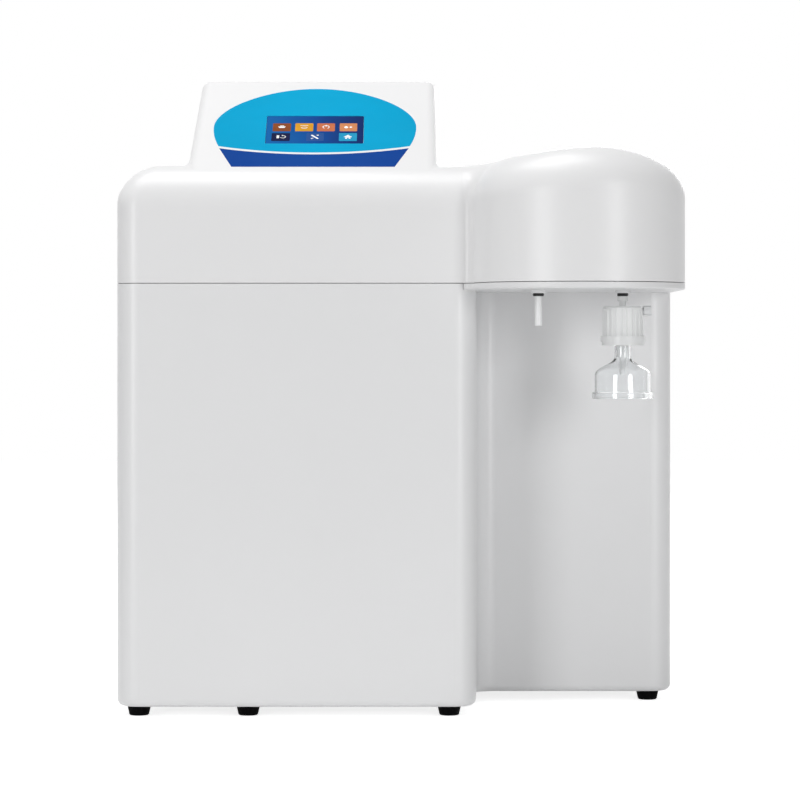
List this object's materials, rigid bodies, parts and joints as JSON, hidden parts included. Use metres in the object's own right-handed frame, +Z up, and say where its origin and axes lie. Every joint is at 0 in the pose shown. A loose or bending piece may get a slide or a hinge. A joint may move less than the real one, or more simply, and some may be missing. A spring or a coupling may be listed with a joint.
{
  "type": "ultrapure water system",
  "caption": "Bench-top pure water cabinet with a hinged moulded cover, sloping display pod, open dispensing bay, filter capsule with clear bell, and rear push-fit ports.",
  "frame": {"origin": "on the bench surface, under the middle of the machine's overall width and depth", "axes": "+Z up, the front with the display and the dispensing bay faces -Y, +X to the right seen from the front"},
  "size_m": [0.504, 0.45, 0.5785],
  "materials": {
    "cabinet_moulding": "satin",
    "cover_moulding": "satin",
    "tray_moulding": "fine grain",
    "panel_sheet": "satin paint",
    "screw_steel": "plated",
    "foot_rubber": "matt",
    "overlay_film": "printed film",
    "strip_film": "printed film",
    "screen_glass": "polished",
    "lcd_frame": "tin plate",
    "board_laminate": "solder mask",
    "standoff_brass": "turned",
    "hinge_steel": "brushed",
    "pin_steel": "ground",
    "gland_plastic": "satin",
    "nut_plastic": "satin",
    "washer_rubber": "matt",
    "nozzle_plastic": "translucent",
    "capsule_plastic": "translucent",
    "membrane_felt": "pleated",
    "vent_plastic": "satin",
    "bell_clear": "clear moulding",
    "port_plastic": "satin",
    "feed_collet_blue": "satin",
    "tank_collet_green": "satin",
    "drain_collet_grey": "satin",
    "socket_black": "satin",
    "inlet_black": "satin",
    "pin_plate": "plated",
    "drawer_black": "satin",
    "fuse_glass": "clear",
    "rocker_black": "gloss",
    "sheet_steel": "zinc plate",
    "cradle_plastic": "grained",
    "post_nylon": "satin",
    "filter_white": "satin",
    "filter_grey": "satin",
    "housing_white": "satin",
    "pack_blue": "satin",
    "chamber_steel": "brushed",
    "head_plastic": "satin",
    "cell_plastic": "satin",
    "motor_steel": "painted",
    "pump_plastic": "satin",
    "bracket_steel": "zinc plate",
    "buffer_rubber": "matt",
    "valve_plastic": "satin",
    "coil_resin": "satin",
    "tube_white": "translucent",
    "supply_case": "perforated case",
    "ballast_white": "painted",
    "board_green": "solder mask"
  },
  "bodies": {
    "cabinet": {"cabinet_shell": "cabinet_moulding", "head_tray": "tray_moulding", "rear_panel": "panel_sheet", "panel_screws": "screw_steel", "rubber_feet": "foot_rubber", "foot_screws": "screw_steel", "hinge_leaves_lower": "hinge_steel", "hinge_pins": "pin_steel", "hinge_screws_lower": "screw_steel", "outlet_glands": "gland_plastic", "gland_nuts": "nut_plastic", "outlet_washers": "washer_rubber", "outlet_tube": "nozzle_plastic", "port_bodies": "port_plastic", "port_nuts": "port_plastic", "tank_level_socket": "socket_black", "power_inlet": "inlet_black", "inlet_pins": "pin_plate", "base_plate": "sheet_steel", "cartridge_cradle": "cradle_plastic", "support_plate": "sheet_steel", "support_posts": "post_nylon", "sediment_filter": "filter_white", "carbon_filter": "filter_grey", "membrane_housing": "housing_white", "polishing_packs": "pack_blue", "uv_chamber": "chamber_steel", "canister_heads": "head_plastic", "resistivity_cell": "cell_plastic", "pump_motor": "motor_steel", "pump_head": "pump_plastic", "pump_bracket": "bracket_steel", "pump_mounts": "buffer_rubber", "valve_bodies": "valve_plastic", "valve_coils": "coil_resin", "water_tubes": "tube_white", "power_supply": "supply_case", "lamp_ballast": "ballast_white", "board_bracket": "bracket_steel", "control_board": "board_green"},
    "cover": {"top_cover": "cover_moulding", "display_overlay": "overlay_film", "title_strip": "strip_film", "touch_screen": "screen_glass", "lcd_module": "lcd_frame", "display_board": "board_laminate", "display_standoffs": "standoff_brass", "display_screws": "screw_steel", "hinge_leaves_upper": "hinge_steel", "hinge_screws_upper": "screw_steel"},
    "capsule": {"filter_capsule": "capsule_plastic", "capsule_membrane": "membrane_felt"},
    "vent_cap": {"vent_cap": "vent_plastic"},
    "bell": {"dispensing_bell": "bell_clear"},
    "feed_collet": {"feed_collet": "feed_collet_blue"},
    "tank_collet": {"tank_collet": "tank_collet_green"},
    "drain_collet": {"drain_collet": "drain_collet_grey"},
    "fuse_drawer": {"fuse_drawer": "drawer_black", "fuses": "fuse_glass"},
    "rocker": {"rocker_switch": "rocker_black"}
  },
  "joints": [
    {"name": "cover_hinge", "type": "hinge", "parent": "cabinet", "child": "cover", "pos_m": [0, 0.2092, 0.3849], "axis": [-1, 0, 0], "range_deg": [0, 80]},
    {"name": "capsule_pull", "type": "slide", "parent": "cabinet", "child": "capsule", "axis": [0, 0, -1], "range_m": [0, 0.02]},
    {"name": "bell_pull", "type": "slide", "parent": "capsule", "child": "bell", "axis": [0, 0, -1], "range_m": [0, 0.025]},
    {"name": "vent_cap_turn", "type": "hinge", "parent": "capsule", "child": "vent_cap", "pos_m": [0.2217, -0.13, 0.361], "axis": [1, 0, 0], "range_deg": [0, 90]},
    {"name": "power_switch", "type": "hinge", "parent": "cabinet", "child": "rocker", "pos_m": [0.185, 0.204, 0.096], "axis": [1, 0, 0], "range_deg": [0, 20]},
    {"name": "fuse_drawer_slide", "type": "slide", "parent": "cabinet", "child": "fuse_drawer", "axis": [0, 1, 0], "range_m": [0, 0.012]},
    {"name": "feed_collet_press", "type": "slide", "parent": "cabinet", "child": "feed_collet", "axis": [0, -1, 0], "range_m": [0, 0.0012], "stiffness_N_per_m": 800},
    {"name": "tank_collet_press", "type": "slide", "parent": "cabinet", "child": "tank_collet", "axis": [0, -1, 0], "range_m": [0, 0.0012], "stiffness_N_per_m": 800},
    {"name": "drain_collet_press", "type": "slide", "parent": "cabinet", "child": "drain_collet", "axis": [0, -1, 0], "range_m": [0, 0.0012], "stiffness_N_per_m": 800}
  ]
}
